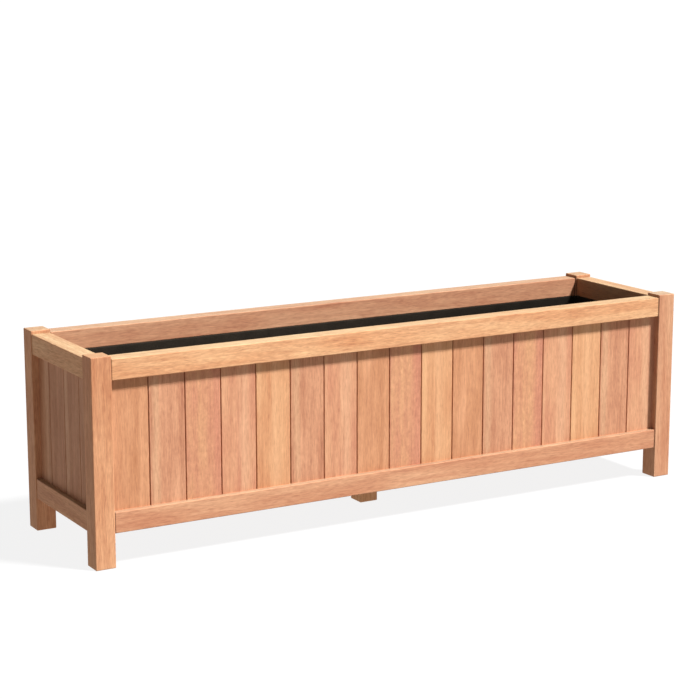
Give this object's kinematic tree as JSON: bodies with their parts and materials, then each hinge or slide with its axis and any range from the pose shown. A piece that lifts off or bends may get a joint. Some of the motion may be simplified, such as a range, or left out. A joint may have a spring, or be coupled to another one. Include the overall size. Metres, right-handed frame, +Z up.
{
  "type": "trough planter",
  "caption": "Long wooden trough planter: corner posts as legs, upright tongue-and-groove boards between rails, a slatted floor, a leg under the middle and a black liner.",
  "frame": {"origin": "the middle of the footprint, on the ground", "axes": "+Z up, +X along the length to the right as seen from the front, -Y towards the front"},
  "size_m": [2, 0.5, 0.597],
  "materials": {
    "post_wood": "planed and oiled hardwood",
    "rail_wood": "planed and oiled hardwood",
    "board_wood": "planed and oiled hardwood",
    "floor_wood": "planed and oiled hardwood",
    "liner_cloth": "matt needled felt",
    "screw_steel": "zinc plated",
    "tack_steel": "blued"
  },
  "bodies": {
    "root": {"post_front_left": "post_wood", "post_front_right": "post_wood", "post_back_right": "post_wood", "post_back_left": "post_wood", "top_rail_front": "rail_wood", "bottom_rail_front": "rail_wood", "front_board_01": "board_wood", "front_board_02": "board_wood", "front_board_03": "board_wood", "front_board_04": "board_wood", "front_board_05": "board_wood", "front_board_06": "board_wood", "front_board_07": "board_wood", "front_board_08": "board_wood", "front_board_09": "board_wood", "front_board_10": "board_wood", "front_board_11": "board_wood", "front_board_12": "board_wood", "front_board_13": "board_wood", "front_board_14": "board_wood", "front_board_15": "board_wood", "front_board_16": "board_wood", "front_board_17": "board_wood", "top_rail_right": "rail_wood", "bottom_rail_right": "rail_wood", "right_board_01": "board_wood", "right_board_02": "board_wood", "right_board_03": "board_wood", "right_board_04": "board_wood", "top_rail_back": "rail_wood", "bottom_rail_back": "rail_wood", "back_board_01": "board_wood", "back_board_02": "board_wood", "back_board_03": "board_wood", "back_board_04": "board_wood", "back_board_05": "board_wood", "back_board_06": "board_wood", "back_board_07": "board_wood", "back_board_08": "board_wood", "back_board_09": "board_wood", "back_board_10": "board_wood", "back_board_11": "board_wood", "back_board_12": "board_wood", "back_board_13": "board_wood", "back_board_14": "board_wood", "back_board_15": "board_wood", "back_board_16": "board_wood", "back_board_17": "board_wood", "top_rail_left": "rail_wood", "bottom_rail_left": "rail_wood", "left_board_01": "board_wood", "left_board_02": "board_wood", "left_board_03": "board_wood", "left_board_04": "board_wood", "centre_leg": "post_wood", "floor_bearers": "floor_wood", "floor_slats": "floor_wood", "floor_screws": "screw_steel", "liner": "liner_cloth", "liner_tacks": "tack_steel"}
  },
  "joints": []
}
